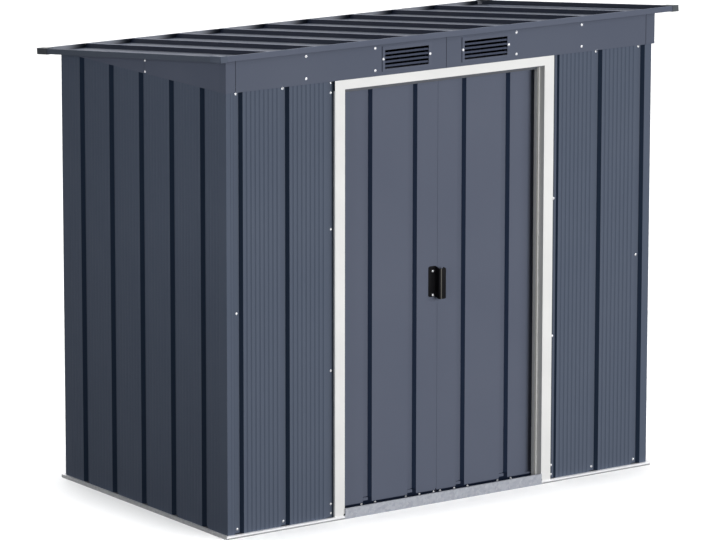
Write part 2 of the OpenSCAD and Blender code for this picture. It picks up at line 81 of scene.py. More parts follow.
def groove_middles(node, deepest):
    """Places along x of the middles of a sheet's groove floors, whose backs lie at y = deepest."""
    floor_points = [p.co for p in nodes[node].data.vertices if abs(p.co.y - deepest) < TOUCHING]
    edges = sorted({round(p.x, 5) for p in floor_points})
    return [(left + right) / 2 for left, right in zip(edges[0::2], edges[1::2])]


front_face = low("front_wall_left").y
rear_face = high("rear_wall_middle").y
eave = low("fascia_left").z
ledge = low("front_wall_left").z
roof_faces = nodes["roof_sheet_middle"].data.polygons
roof_up = max((face.normal for face in roof_faces), key=lambda normal: normal.z).copy()
roof_fall = math.atan2(roof_up.y, roof_up.z)
print("front wall at y", round(front_face, 4), "eave at z", round(eave, 4))
print("the roof falls", round(math.degrees(roof_fall), 2), "degrees to the rear")

# %% [markdown]
# ## The camera
# The picture was taken with a very long lens, from the left and a little above: the verticals hardly
# lean together. A camera could be placed by eye, but a long lens shows every degree of error along the
# roof line, so the view is given as a photographer would note it: the point on the front wall that the
# lens is aimed at, the distance, the bearing, the height angle and the lens.

# %% Place the camera
AIM = Vector((-0.401, front_face, 0.956))
AIM_DISTANCE = 18.882
BEARING = math.radians(-35.246)
HEIGHT_ANGLE = math.radians(11.927)
ROLL = math.radians(0.073)
LENS_MM = 252.3
SENSOR_MM = 36.0
VIEW_REACH = 200.0

turn = Matrix.Rotation(BEARING, 4, "Z") @ Matrix.Rotation(math.pi / 2 - HEIGHT_ANGLE, 4, "X")
turn = turn @ Matrix.Rotation(ROLL, 4, "Z")
camera_data = bpy.data.cameras.new("camera")
camera_data.lens = LENS_MM
camera_data.sensor_fit = "HORIZONTAL"
camera_data.sensor_width = SENSOR_MM
camera_data.clip_end = VIEW_REACH
camera = bpy.data.objects.new("camera", camera_data)
camera.matrix_world = Matrix.Translation(AIM) @ turn @ Matrix.Translation((0, 0, AIM_DISTANCE))
bpy.context.scene.collection.objects.link(camera)
bpy.context.scene.camera = camera
print("camera at", [round(c, 3) for c in camera.location])

# %% [markdown]
# ## Mesh helper
# Several pieces below, such as the screws and the pull, are worked out as lists of points and faces.
# They could be built with Blender's own operators, but those act on whatever is selected. This one
# function turns such lists into an object, smooths its faces and keeps the folds that are sharper than
# an angle crisp.

# %% A mesh from points and faces
SHARP_ANGLE = math.radians(38)


def mesh_piece(name, points, faces, finish):
    """A new object from points and faces, with one finish."""
    mesh = bpy.data.meshes.new(name)
    mesh.from_pydata(points, [], faces)
    mesh.shade_smooth()
    mesh.set_sharp_from_angle(angle=SHARP_ANGLE)
    mesh.materials.append(finish)
    mesh.validate()
    piece = bpy.data.objects.new(name, mesh)
    bpy.context.scene.collection.objects.link(piece)
    return piece


print("mesh helper ready, folds over", round(math.degrees(SHARP_ANGLE)), "degrees stay sharp")

# %% [markdown]
# ## Finish helpers
# Paint, zinc and plastic could be painted on pictures and wrapped round the sheets. Here all finishes
# are built from nodes, so they need no pictures and no unwrapping. They read the Object coordinates,
# which are metres on the shed itself and slide along with a door leaf. Five helpers keep the recipes
# short: they add a node and fill its sockets, start a finish, make a speckle of a given size, blend two
# colours, and press dimples into a face.

# %% Node helpers
NOISE_LOW = 0.3
NOISE_HIGH = 0.7


def add_node(tree, kind, **inputs):
    """Adds a node. An input is a value, or the socket of another node to link from."""
    node = tree.nodes.new(kind)
    for name, value in inputs.items():
        if isinstance(value, bpy.types.NodeSocket):
            tree.links.new(value, node.inputs[name])
        else:
            node.inputs[name].default_value = value
    return node


def start_finish(name):
    """A material with its tree, its Principled shader and the shed's own coordinates."""
    finish = bpy.data.materials.new(name)
    finish.use_nodes = True
    tree = finish.node_tree
    place = tree.nodes.new("ShaderNodeTexCoord").outputs["Object"]
    return finish, tree, tree.nodes["Principled BSDF"], place


def speckle(tree, place, lumps, detail, least=0.0, most=1.0):
    """A cloudy noise of so many lumps a metre, mapped onto the range from least to most."""
    noise = add_node(tree, "ShaderNodeTexNoise", Vector=place, Scale=lumps, Detail=detail)
    spread = add_node(tree, "ShaderNodeMapRange", Value=noise.outputs["Fac"])
    spread.inputs["From Min"].default_value = NOISE_LOW
    spread.inputs["From Max"].default_value = NOISE_HIGH
    spread.inputs["To Min"].default_value = least
    spread.inputs["To Max"].default_value = most
    return spread.outputs["Result"]


def blend_colours(tree, share, first, second):
    """A colour that goes from first to second as share goes from 0 to 1."""
    mix = tree.nodes.new("ShaderNodeMix")
    mix.data_type = "RGBA"
    tree.links.new(share, mix.inputs["Factor"])
    for socket, colour in ((mix.inputs[6], first), (mix.inputs[7], second)):
        if isinstance(colour, bpy.types.NodeSocket):
            tree.links.new(colour, socket)
        else:
            socket.default_value = (*colour, 1.0)
    return mix.outputs[2]


def dimple(tree, height, depth, normal=None):
    """Bump of so many metres from a height between 0 and 1."""
    bump = add_node(tree, "ShaderNodeBump", Height=height, Strength=1.0, Distance=depth)
    if normal is not None:
        tree.links.new(normal, bump.inputs["Normal"])
    return bump.outputs["Normal"]


print("node helpers ready")

# %% [markdown]
# ## Masks and coats
# A finish changes from place to place: painted shadow on the roof, a pale backing coat on a fold that
# also paints in light, painted shade behind a frame. Such places could be painted by hand, but here each
# of them follows from a coordinate on the shed or from the way a face looks. So a mask is a small
# function that gives 1 where another coat lies and 0 elsewhere, and coats are laid over each other by
# their masks.

# %% Mask helpers
ABOVE = "GREATER_THAN"
BELOW = "LESS_THAN"


def reckon(tree, operation, first, second):
    """One step of arithmetic. Either input is a number or the socket of another node."""
    step = tree.nodes.new("ShaderNodeMath")
    step.operation = operation
    for socket, value in zip(step.inputs, (first, second)):
        if isinstance(value, bpy.types.NodeSocket):
            tree.links.new(value, socket)
        else:
            socket.default_value = value
    return step.outputs[0]


def part_of(tree, vector, axis):
    """One coordinate of a vector."""
    return add_node(tree, "ShaderNodeSeparateXYZ", Vector=vector).outputs[axis]


def where(axis, operation, limit):
    """Mask of the points whose coordinate is above or below a limit."""
    return lambda tree, place: reckon(tree, operation, part_of(tree, place, axis), limit)


def looking(axis, operation, limit):
    """Mask of the faces whose direction along an axis is above or below a limit."""
    def mask(tree, place):
        facing = tree.nodes.new("ShaderNodeNewGeometry").outputs["True Normal"]
        return reckon(tree, operation, part_of(tree, facing, axis), limit)
    return mask


def all_of(*masks):
    """Mask of the points that lie in every one of these masks."""
    def mask(tree, place):
        share = masks[0](tree, place)
        for other in masks[1:]:
            share = reckon(tree, "MULTIPLY", share, other(tree, place))
        return share
    return mask


def lay_coats(tree, place, tone, coats):
    """A tone with more coats over it, each a mask and a colour."""
    for mask, colour in coats:
        tone = blend_colours(tree, mask(tree, place), tone, colour)
    return tone


print("mask helpers ready")

# %% [markdown]
# ## Anthracite paint
# The sheets are coil-coated steel: a satin, slightly blue grey with the faint orange peel of a sprayed
# coat. Thin sheet is never quite flat, so wide soft waves run through its reflections. The slanted
# sides of the grooves and roof ribs get painted shade, almost black. A second material on those faces
# would do it too, but the faces give themselves away: only they point between two axes, so a mask made
# from the direction of the face paints that shade on every sheet, whichever way it looks. A thin line
# of painted shade also runs along the left ends of the vent plates, and the vent blades get a painted
# shade of their own.

# %% Mix the paint
PAINT = (0.104, 0.118, 0.161)
PAINT_WORN = (0.111, 0.125, 0.168)
# Painted shade: the slanted sides of grooves and ribs are painted in this dark tone.
PAINT_SHADE = (0.024, 0.036, 0.068)
# Painted shade on the slanted blades of the vents.
BLADE_SHADE = (0.084, 0.098, 0.144)
# A dark tone for the fascia's joint, and painted shade along the left ends of the vent plates.
DARK_JOINT_AND_EDGE_SHADE = (0.040, 0.047, 0.067)
JOINT_WIDE = 3.4 * MM
SLANT_FROM = 0.036
SLANT_TO = 0.115
WAVE_DEPTH = 2.0 * MM
PEEL_DEPTH = 0.02 * MM
PAINT_SPECULAR = 0.02


def slant_mask(tree, slant_from):
    """0 on faces that look along an axis, 1 on the slanted sides of grooves and ribs."""
    facing = tree.nodes.new("ShaderNodeNewGeometry").outputs["True Normal"]
    local = add_node(tree, "ShaderNodeVectorTransform", Vector=facing)
    local.vector_type = "NORMAL"
    local.convert_from = "WORLD"
    local.convert_to = "OBJECT"
    size = tree.nodes.new("ShaderNodeVectorMath")
    size.operation = "ABSOLUTE"
    tree.links.new(local.outputs["Vector"], size.inputs[0])
    parts = add_node(tree, "ShaderNodeSeparateXYZ", Vector=size.outputs["Vector"])
    most = reckon(tree, "MAXIMUM", parts.outputs["X"], parts.outputs["Y"])
    most = reckon(tree, "MAXIMUM", most, parts.outputs["Z"])
    mask = add_node(tree, "ShaderNodeMapRange", Value=most)
    mask.inputs["From Min"].default_value = 1 - slant_from
    mask.inputs["From Max"].default_value = 1 - SLANT_TO
    return mask.outputs["Result"]


def anthracite_paint(name, coat, worn, shade, coats=(), slant_from=SLANT_FROM):
    """Satin grey coat on sheet, with other coats over it, and painted shade on the slanted faces."""
    finish, tree, shader, place = start_finish(name)
    tone = blend_colours(tree, speckle(tree, place, lumps=2.2, detail=4.0), coat, worn)
    tone = lay_coats(tree, place, tone, coats)
    tone = blend_colours(tree, slant_mask(tree, slant_from), tone, shade)
    tree.links.new(tone, shader.inputs["Base Color"])
    rough = speckle(tree, place, lumps=6.0, detail=3.0, least=0.44, most=0.54)
    tree.links.new(rough, shader.inputs["Roughness"])
    waves = dimple(tree, speckle(tree, place, lumps=3.0, detail=1.0), WAVE_DEPTH)
    peel = dimple(tree, speckle(tree, place, lumps=700.0, detail=1.0), PEEL_DEPTH, waves)
    tree.links.new(peel, shader.inputs["Normal"])
    shader.inputs["Specular IOR Level"].default_value = PAINT_SPECULAR
    return finish


paint = anthracite_paint("anthracite_paint", PAINT, PAINT_WORN, PAINT_SHADE)
# Painted shade along the left end of each vent plate.
shaded_plate_ends = []
for vent in ("vent_left", "vent_right"):
    end = all_of(where("X", ABOVE, low(vent).x), where("X", BELOW, low(vent).x + JOINT_WIDE))
    shaded_plate_ends.append((end, DARK_JOINT_AND_EDGE_SHADE))
vent_paint = anthracite_paint("vent_paint", PAINT, PAINT_WORN, BLADE_SHADE, shaded_plate_ends)
print("paints:", paint.name, vent_paint.name)

# %% [markdown]
# The beaded wall sheets get a darker copy of the paint than the smooth leaves, which paints in the
# shade of their fine beads, and the fascia gets a tone between the two. Each could have a recipe of its
# own, but the paint is the same, so the one recipe is mixed again with other colours and other coats
# over them. On the side walls the beads get no painted shade, only the grooves do. Right of the doorway
# a darker coat paints the shade in the groove beside the frame, on the part next to the frame. Two
# beads too faint for the construction are painted as dark lines of shade down the strip at the front
# left corner, and a dark line runs down the joint of the fascia.

# %% Paint the walls and the fascia
# The wall tones are darker copies of the paint: painted shade of the fine beads.
WALL_PAINT_BEAD_SHADED = (0.091, 0.110, 0.152)
WALL_PAINT_WORN_BEAD_SHADED = (0.097, 0.116, 0.158)
WALL_SHADE = (0.0205, 0.032, 0.056)
FASCIA_PAINT = (0.098, 0.112, 0.153)
FASCIA_PAINT_WORN = (0.105, 0.119, 0.160)
PAINTED_FRAME_SHADE = (0.066, 0.076, 0.098)
FRAME_SHADE_WIDE = 18 * MM
GROOVES_ONLY = 0.075
CORNER_BEADS = (17.5 * MM, 30.5 * MM)
CORNER_BEAD_WIDE = 3 * MM
BEAD_SHADE = (0.068, 0.083, 0.118)

# Painted shade in the groove beside the right jamb.
beside_frame = where("X", BELOW, high("door_jamb_right").x + FRAME_SHADE_WIDE)
# Two beads painted on as dark lines of shade.
corner_beads = []
for bead in CORNER_BEADS:
    left_side = low("front_wall_left").x + bead
    line = all_of(
        where("Y", BELOW, front_face + SHEET_T),
        where("X", ABOVE, left_side),
        where("X", BELOW, left_side + CORNER_BEAD_WIDE),
    )
    corner_beads.append((line, BEAD_SHADE))
wall_paint = anthracite_paint("wall_paint", WALL_PAINT_BEAD_SHADED, WALL_PAINT_WORN_BEAD_SHADED, WALL_SHADE, corner_beads)
door_wall_paint = anthracite_paint(
    "door_wall_paint", WALL_PAINT_BEAD_SHADED, WALL_PAINT_WORN_BEAD_SHADED, WALL_SHADE, [(beside_frame, PAINTED_FRAME_SHADE)]
)
side_wall_paint = anthracite_paint(
    "side_wall_paint", WALL_PAINT_BEAD_SHADED, WALL_PAINT_WORN_BEAD_SHADED, WALL_SHADE, slant_from=GROOVES_ONLY
)
joint = all_of(
    where("X", ABOVE, high("fascia_left").x - JOINT_WIDE / 2),
    where("X", BELOW, low("fascia_right").x),
)
fascia_paint = anthracite_paint(
    "fascia_paint", FASCIA_PAINT, FASCIA_PAINT_WORN, PAINT_SHADE, [(joint, DARK_JOINT_AND_EDGE_SHADE)]
)
print("more paints:", [more.name for more in (wall_paint, door_wall_paint, side_wall_paint, fascia_paint)])

# %% [markdown]
# The ribs of the roof get a painted shadow in the pans: most of it along the foot of each rib, little
# amid a pan and none on the crests, whose unshaded strip lies a little to the left. A painted map could
# hold that, but the ribs repeat at a fixed distance, so the distance to the nearest rib, a number that
# goes to and fro across the roof, is enough to lay the painted shadow.

# %% Weather the roof
# Painted shadow of the roof's ribs, and painted shade on the trims.
PAINTED_SHADOW = (0.022, 0.027, 0.040)
ROOF_SHADE = (0.007, 0.010, 0.020)
RIB_FOOT = 20 * MM
CREST_UNSHADED = 7 * MM
CREST_LEAN = 2.5 * MM
SHADOW_MOST = 24 * MM
SHADOW_LEAST = 100 * MM
SHADOW_AMID = 0.25


def rib_pitch():
    """Distance between the ribs, from the crest next to the one in the middle of the roof."""
    points = [p.co for p in nodes["roof_sheet_middle"].data.vertices]
    top = max(p.dot(roof_up) for p in points)
    crest_points = [p for p in points if p.dot(roof_up) > top - SHEET_T / 2]
    crests = sorted({round(p.x, 4) for p in crest_points if p.x > RIB_FOOT})
    return (crests[0] + crests[1]) / 2


def shadow_beside_ribs(tree, place):
    """Painted shadow: most beside the foot of a rib, little amid a pan, none on a crest."""
    leaning = reckon(tree, "ADD", part_of(tree, place, "X"), CREST_LEAN)
    away = reckon(tree, "PINGPONG", leaning, RIB_PITCH / 2)
    rib_shadow_share = add_node(tree, "ShaderNodeMapRange", Value=away)
    rib_shadow_share.interpolation_type = "SMOOTHSTEP"
    rib_shadow_share.inputs["From Min"].default_value = SHADOW_MOST
    rib_shadow_share.inputs["From Max"].default_value = SHADOW_LEAST
    rib_shadow_share.inputs["To Min"].default_value = 1.0
    rib_shadow_share.inputs["To Max"].default_value = SHADOW_AMID
    return reckon(tree, "MULTIPLY", rib_shadow_share.outputs["Result"], reckon(tree, ABOVE, away, CREST_UNSHADED))


RIB_PITCH = rib_pitch()
roof_coats = [(shadow_beside_ribs, PAINTED_SHADOW)]
roof_paint = anthracite_paint("roof_paint", PAINT, PAINT_WORN, ROOF_SHADE, roof_coats)
print("roof paint:", len(roof_paint.node_tree.nodes), "nodes, ribs", round(RIB_PITCH / MM, 1), "mm apart")

# %% [markdown]
# The trims round the roof are folded from the same steel. The left trim gets a darker copy of the
# paint, painted shade on its side, and painted shade also covers the inner half of its narrow lip.
# Coil-coated sheet has its colour on one side only: the other side gets a pale backing coat. On the
# rear trim that side looks to the front, over the ends of the pans, and its pale tone there also paints
# in the light that falls on it; it fades into painted shadow towards the rib on its right. A second
# material on some faces would show this too, but the CAD meshes stay as they are, so masks made from
# the place and the direction of a face lay these coats.

# %% Paint the trims
TRIM_PAINT = (0.094, 0.107, 0.146)
TRIM_PAINT_WORN = (0.100, 0.113, 0.152)
# Darker copies of the trim paint: painted shade on the left trim.
LEFT_TRIM_SHADED = (0.075, 0.088, 0.114)
LEFT_TRIM_WORN_SHADED = (0.080, 0.093, 0.119)
# A pale backing coat whose tone also paints in the light on the rear trim's inner face.
BACKING_COAT_AND_LIGHT = (0.46, 0.48, 0.54)
LIP_UNSHADED = 5 * MM
PALE_UNTIL = 0.45
SHADOWED_FROM = 0.88
UP_FROM = 0.7
FORWARD_FROM = 0.5


def pale_after_ribs(tree, place):
    """1 right of each rib, falling to 0 before the next one."""
    along = reckon(tree, "FLOORED_MODULO", part_of(tree, place, "X"), RIB_PITCH)
    fade = add_node(tree, "ShaderNodeMapRange", Value=along)
    fade.interpolation_type = "SMOOTHSTEP"
    fade.inputs["From Min"].default_value = PALE_UNTIL * RIB_PITCH
    fade.inputs["From Max"].default_value = SHADOWED_FROM * RIB_PITCH
    fade.inputs["To Min"].default_value = 1.0
    fade.inputs["To Max"].default_value = 0.0
    return fade.outputs["Result"]


looks_up = looking("Z", ABOVE, UP_FROM)
looks_forward = looking("Y", BELOW, -FORWARD_FROM)
# Painted shade on the inner half of the left trim's lip.
inner_lip = all_of(looks_up, where("X", ABOVE, low("roof_trim_left").x + LIP_UNSHADED))
trim_paint = anthracite_paint("trim_paint", TRIM_PAINT, TRIM_PAINT_WORN, TRIM_PAINT)
left_trim_paint = anthracite_paint(
    "left_trim_paint", LEFT_TRIM_SHADED, LEFT_TRIM_WORN_SHADED, LEFT_TRIM_SHADED, [(inner_lip, PAINTED_SHADOW)]
)
# On the rear trim's forward faces: painted shadow, and over it the pale backing that also paints in light.
rear_coats = [(looks_forward, PAINTED_SHADOW), (all_of(looks_forward, pale_after_ribs), BACKING_COAT_AND_LIGHT)]
rear_trim_paint = anthracite_paint("rear_trim_paint", TRIM_PAINT, TRIM_PAINT_WORN, TRIM_PAINT, rear_coats)
print("trims:", trim_paint.name, left_trim_paint.name, rear_trim_paint.name)

# %% [markdown]
# ## White door frame
# The jambs and the header are folded steel with a white stove enamel, a little smoother than the grey
# paint. Pure white would clip in the light, so the coat is a warm, slightly broken white with a soft
# peel. The lip behind the face of the header is grey like the leaves, and a thin painted shade runs
# along the foot of the face. The folds of the jambs that lead in to the leaves get a darker copy of the
# white as painted shade, the inner part of the stop that the leaves close against is dark grey, and the
# inner corner of each jamb's foot is nearly black. The outer fold of the left jamb gets a whiter copy
# of the coat as painted light. All of these lie in plain places, so masks by coordinate are enough.

# %% Mix the white enamel
ENAMEL = (0.80, 0.80, 0.79)
ENAMEL_DULL = (0.75, 0.75, 0.745)
# A darker copy of the white: painted shade on the inner folds of the jambs.
ENAMEL_SHADED = (0.60, 0.60, 0.59)
# A whiter copy of the white: painted light on the left jamb's outer fold.
ENAMEL_PAINTED_LIGHT = (0.94, 0.94, 0.93)
STOP_DARK_GREY = (0.215, 0.215, 0.21)
FACE_BACK = 2 * MM
GREY_BEHIND = 12 * MM
STOP_INNER_WIDE = 8 * MM
# Painted shade along the foot of the header's face.
HEADER_EDGE_SHADE = (0.060, 0.066, 0.082)
EDGE_HIGH = 3.2 * MM
FOOT_CORNER_BLACK = (0.010, 0.010, 0.012)
FOOT_CORNER_WIDE = 5 * MM
FOOT_CORNER_HIGH = 9 * MM
ENAMEL_SPECULAR = 0.3


def white_enamel(name, coats=()):
    """Satin white coat on the door frame, with other coats over it."""
    finish, tree, shader, place = start_finish(name)
    tone = blend_colours(tree, speckle(tree, place, lumps=5.0, detail=4.0), ENAMEL, ENAMEL_DULL)
    tree.links.new(lay_coats(tree, place, tone, coats), shader.inputs["Base Color"])
    rough = speckle(tree, place, lumps=9.0, detail=3.0, least=0.34, most=0.44)
    tree.links.new(rough, shader.inputs["Roughness"])
    peel = dimple(tree, speckle(tree, place, lumps=600.0, detail=1.0), PEEL_DEPTH)
    tree.links.new(peel, shader.inputs["Normal"])
    shader.inputs["Specular IOR Level"].default_value = ENAMEL_SPECULAR
    return finish


stop_half = low("door_jamb_right").x
outer_half = high("door_jamb_right").x - FACE_BACK
looks_aside = looking("Y", ABOVE, -FORWARD_FROM)
behind_face = all_of(where("Y", ABOVE, low("door_jamb_right").y + FACE_BACK), looks_aside)
inside = all_of(behind_face, where("X", ABOVE, -outer_half), where("X", BELOW, outer_half))
left_fold = where("X", BELOW, -outer_half)
stop_inner = all_of(
    where("Y", ABOVE, front_face),
    looks_forward,
    where("X", ABOVE, -stop_half - STOP_INNER_WIDE),
    where("X", BELOW, stop_half + STOP_INNER_WIDE),
)
foot_corner_half = low("door_sill").x - FOOT_CORNER_WIDE
foot_corner = all_of(
    where("Z", BELOW, low("door_jamb_right").z + FOOT_CORNER_HIGH),
    where("X", ABOVE, foot_corner_half),
    where("X", BELOW, -foot_corner_half),
)
jamb_coats = [
    (inside, ENAMEL_SHADED),
    (stop_inner, STOP_DARK_GREY),
    (foot_corner, FOOT_CORNER_BLACK),
    (all_of(behind_face, left_fold), ENAMEL_PAINTED_LIGHT),
]
jamb_enamel = white_enamel("jamb_enamel", jamb_coats)

header_foot = min(p.co.z for p in nodes["door_header"].data.vertices if p.co.y < front_face)
header_lip = where("Y", ABOVE, front_face + GREY_BEHIND)
header_edge = all_of(
    where("Z", BELOW, header_foot + EDGE_HIGH),
    where("X", ABOVE, low("door_sill").x),
    where("X", BELOW, high("door_sill").x),
)
header_enamel = white_enamel("header_enamel", [(header_lip, PAINT), (header_edge, HEADER_EDGE_SHADE)])
print("white enamel:", jamb_enamel.name, header_enamel.name)

# %% [markdown]
# ## Galvanised steel
# Rails, posts, tracks and the sill come from a zinc bath. Zinc freezes in flat crystals, the spangle,
# each about a centimetre wide and tilted its own way, so each catches the light differently. Cells of a
# Voronoi texture have just that shape: every cell gets its own grey and its own roughness. On the base
# rail light and shade are painted: its ledge at the front is painted nearly white as a painted highlight
# over a grey foot painted as shade, and along the sides a zinc paler than the sill's is painted light.
# Where the ledge runs in under the grooves of the sheets it is painted dark as shade.

# %% Mix the zinc
ZINC_DARK = (0.28, 0.295, 0.335)
ZINC_LIGHT = (0.355, 0.37, 0.41)
# Paler zinc for the side rails than for the sill: painted light.
RAIL_DARK = (0.33, 0.335, 0.345)
RAIL_LIGHT = (0.41, 0.415, 0.425)
# Painted highlight on the front rail's ledge, with painted shade on its foot.
LEDGE_LIT = (0.76, 0.76, 0.78)
# Painted shade where the ledge runs in under the sheets.
LEDGE_SHADE = (0.030, 0.034, 0.042)
LIP_FOOT_SHADED = (0.27, 0.275, 0.28)
LIP_GREY = 5.5 * MM
UNDER_SHEET = 0.5 * MM
SPANGLE_PER_METRE = 95.0
SPANGLE_BENT = 0.006
ZINC_ROUGH = (0.36, 0.52)
ZINC_GRAIN = 0.02 * MM
ZINC_METALLIC = 0.35


def spangle(tree, place):
    """Three numbers from 0 to 1 that differ from one zinc crystal to the next."""
    wobble = add_node(tree, "ShaderNodeTexNoise", Vector=place, Scale=140.0, Detail=2.0)
    bent = tree.nodes.new("ShaderNodeMix")
    bent.data_type = "VECTOR"
    bent.inputs["Factor"].default_value = SPANGLE_BENT
    tree.links.new(place, bent.inputs[4])
    tree.links.new(wobble.outputs["Color"], bent.inputs[5])
    cells = add_node(tree, "ShaderNodeTexVoronoi", Vector=bent.outputs[1], Scale=SPANGLE_PER_METRE)
    return add_node(tree, "ShaderNodeSeparateXYZ", Vector=cells.outputs["Color"])


def galvanised_steel(name, dark, light, coats=()):
    """Zinc with its spangle, with other coats over it."""
    finish, tree, shader, place = start_finish(name)
    crystal = spangle(tree, place)
    tone = blend_colours(tree, crystal.outputs["X"], dark, light)
    tree.links.new(lay_coats(tree, place, tone, coats), shader.inputs["Base Color"])
    rough = add_node(tree, "ShaderNodeMapRange", Value=crystal.outputs["Y"])
    rough.inputs["To Min"].default_value = ZINC_ROUGH[0]
    rough.inputs["To Max"].default_value = ZINC_ROUGH[1]
    tree.links.new(rough.outputs["Result"], shader.inputs["Roughness"])
    grain = dimple(tree, speckle(tree, place, lumps=420.0, detail=3.0), ZINC_GRAIN)
    tree.links.new(grain, shader.inputs["Normal"])
    shader.inputs["Metallic"].default_value = ZINC_METALLIC
    return finish


zinc = galvanised_steel("galvanised_steel", ZINC_DARK, ZINC_LIGHT)
side_face = high("right_wall_front").x - UNDER_SHEET
under_sides = all_of(looks_up, where("X", ABOVE, -side_face), where("X", BELOW, side_face))
under_front = all_of(looks_up, where("Y", ABOVE, front_face + UNDER_SHEET))
lip_foot = where("Z", BELOW, LIP_GREY)
rail_zinc = galvanised_steel("rail_zinc", RAIL_DARK, RAIL_LIGHT, [(under_sides, LEDGE_SHADE)])
ledge_zinc = galvanised_steel(
    "ledge_zinc", LEDGE_LIT, LEDGE_LIT, [(lip_foot, LIP_FOOT_SHADED), (under_front, LEDGE_SHADE)]
)
print("zinc:", zinc.name, rail_zinc.name, ledge_zinc.name)

# %% [markdown]
# ## Plastic
# The pull, the foot rails of the leaves and the runners are moulded black plastic with a fine grain.
# The rails have faded to a dark blue, and the grey of the leaf was sprayed over their upper edge,
# except at the plugs that close the grooves, where it reaches only the left half. The caps on the
# roof's corners are a dark grey, darker at the rear and darkest at the rear right, and the one at the
# front left is painted like the trims. Each could be mixed by itself, but all share the grain and the
# gloss, so they are one recipe with other colours.

# %% Mould the plastics
BLACK = (0.002, 0.002, 0.003)
BLACK_FADED = (0.004, 0.004, 0.005)
RAIL_BLUE = (0.006, 0.010, 0.022)
RAIL_BLUE_FADED = (0.008, 0.012, 0.025)
CAP_GREY = (0.074, 0.084, 0.092)
CAP_GREY_FADED = (0.082, 0.092, 0.100)
CAP_REAR = (0.046, 0.052, 0.060)
CAP_DARKEST = (0.012, 0.014, 0.018)
CAP_PAINTED = (0.080, 0.095, 0.128)
OVERSPRAY = 5.5 * MM
PLUG_HALF = 21 * MM
PLUG_SPRAYED = 1.8 * MM
PLUG_FOOT = 1.5 * MM
PLASTIC_SPECULAR = 0.05
RAIL_SPECULAR = 0.03
PLASTIC_GRAIN = 0.03 * MM


def moulded_plastic(name, colour, faded, specular, coats=()):
    """Grained plastic in a colour with patches of a faded tone, and other coats over it."""
    finish, tree, shader, place = start_finish(name)
    tone = blend_colours(tree, speckle(tree, place, lumps=14.0, detail=3.0), colour, faded)
    tree.links.new(lay_coats(tree, place, tone, coats), shader.inputs["Base Color"])
    rough = speckle(tree, place, lumps=60.0, detail=3.0, least=0.42, most=0.58)
    tree.links.new(rough, shader.inputs["Roughness"])
    grain = dimple(tree, speckle(tree, place, lumps=1500.0, detail=2.0), PLASTIC_GRAIN)
    tree.links.new(grain, shader.inputs["Normal"])
    shader.inputs["Specular IOR Level"].default_value = specular
    return finish


def past_plug(tree, place):
    """How far a place lies to the right of the nearest plug, below zero where it lies to the left."""
    across = part_of(tree, place, "X")
    pitch = leaf_grooves[1] - leaf_grooves[0]
    from_seam = reckon(tree, "ABSOLUTE", across, 0.0)
    along = reckon(tree, "SUBTRACT", from_seam, leaf_grooves[0] - pitch / 2)
    outwards = reckon(tree, "SUBTRACT", reckon(tree, "FLOORED_MODULO", along, pitch), pitch / 2)
    return reckon(tree, "MULTIPLY", outwards, reckon(tree, "SIGN", across, 0.0))


def between_plugs(tree, place):
    """Mask of the places along a foot rail that have no plug over them."""
    return reckon(tree, ABOVE, reckon(tree, "ABSOLUTE", past_plug(tree, place), 0.0), PLUG_HALF)


def left_of_plug(tree, place):
    """Mask of the left halves of the plugs."""
    return reckon(tree, BELOW, past_plug(tree, place), PLUG_SPRAYED)


leaf_low, leaf_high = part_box("right_leaf_sheet")
leaf_grooves = groove_middles("right_leaf_sheet", leaf_high.y)[:2]
sprayed = all_of(where("Z", ABOVE, leaf_low.z - OVERSPRAY), between_plugs)
sprayed_plug = all_of(where("Z", ABOVE, leaf_low.z + PLUG_FOOT), left_of_plug)
rail_coats = [(sprayed, PAINT), (sprayed_plug, PAINT)]
front_left = all_of(where("X", BELOW, 0.0), where("Y", BELOW, 0.0))
rear = where("Y", ABOVE, 0.0)
rear_right = all_of(where("X", ABOVE, 0.0), rear)
cap_coats = [(rear, CAP_REAR), (rear_right, CAP_DARKEST), (front_left, CAP_PAINTED)]

black_plastic = moulded_plastic("black_plastic", BLACK, BLACK_FADED, PLASTIC_SPECULAR)
rail_plastic = moulded_plastic("rail_plastic", RAIL_BLUE, RAIL_BLUE_FADED, RAIL_SPECULAR, rail_coats)
cap_plastic = moulded_plastic("cap_plastic", CAP_GREY, CAP_GREY_FADED, PLASTIC_SPECULAR, cap_coats)
print("plastics:", black_plastic.name, rail_plastic.name, cap_plastic.name)

# %% [markdown]
# ## Bright zinc for the screws
# Screws are plated smoother than the rails are dipped, so they are the brightest points on the shed.
# They get a clean metal with a trace of colour. A plain white would do from afar, but only a metal
# glints at the rim.

# %% Plate the screws
PLATED_DARK = (0.50, 0.51, 0.53)
PLATED_LIGHT = (0.62, 0.62, 0.63)


def bright_zinc():
    """Electroplated screw heads."""
    finish, tree, shader, place = start_finish("bright_zinc")
    tone = blend_colours(tree, speckle(tree, place, lumps=260.0, detail=2.0), PLATED_DARK, PLATED_LIGHT)
    tree.links.new(tone, shader.inputs["Base Color"])
    rough = speckle(tree, place, lumps=500.0, detail=2.0, least=0.22, most=0.36)
    tree.links.new(rough, shader.inputs["Roughness"])
    shader.inputs["Metallic"].default_value = 1.0
    return finish


plated = bright_zinc()
print("screws:", plated.name)

# %% [markdown]
# ## Hand out the finishes
# On the shed each kind of piece is bought ready finished: sheets painted, rails dipped, caps moulded.
# The record says which slot each node takes. Naming a finish for each of the nodes would be long, so
# the finishes are handed out by slot, and some nodes have one of their own. The CAD meshes stay as they
# are: only the material in their slots changes.

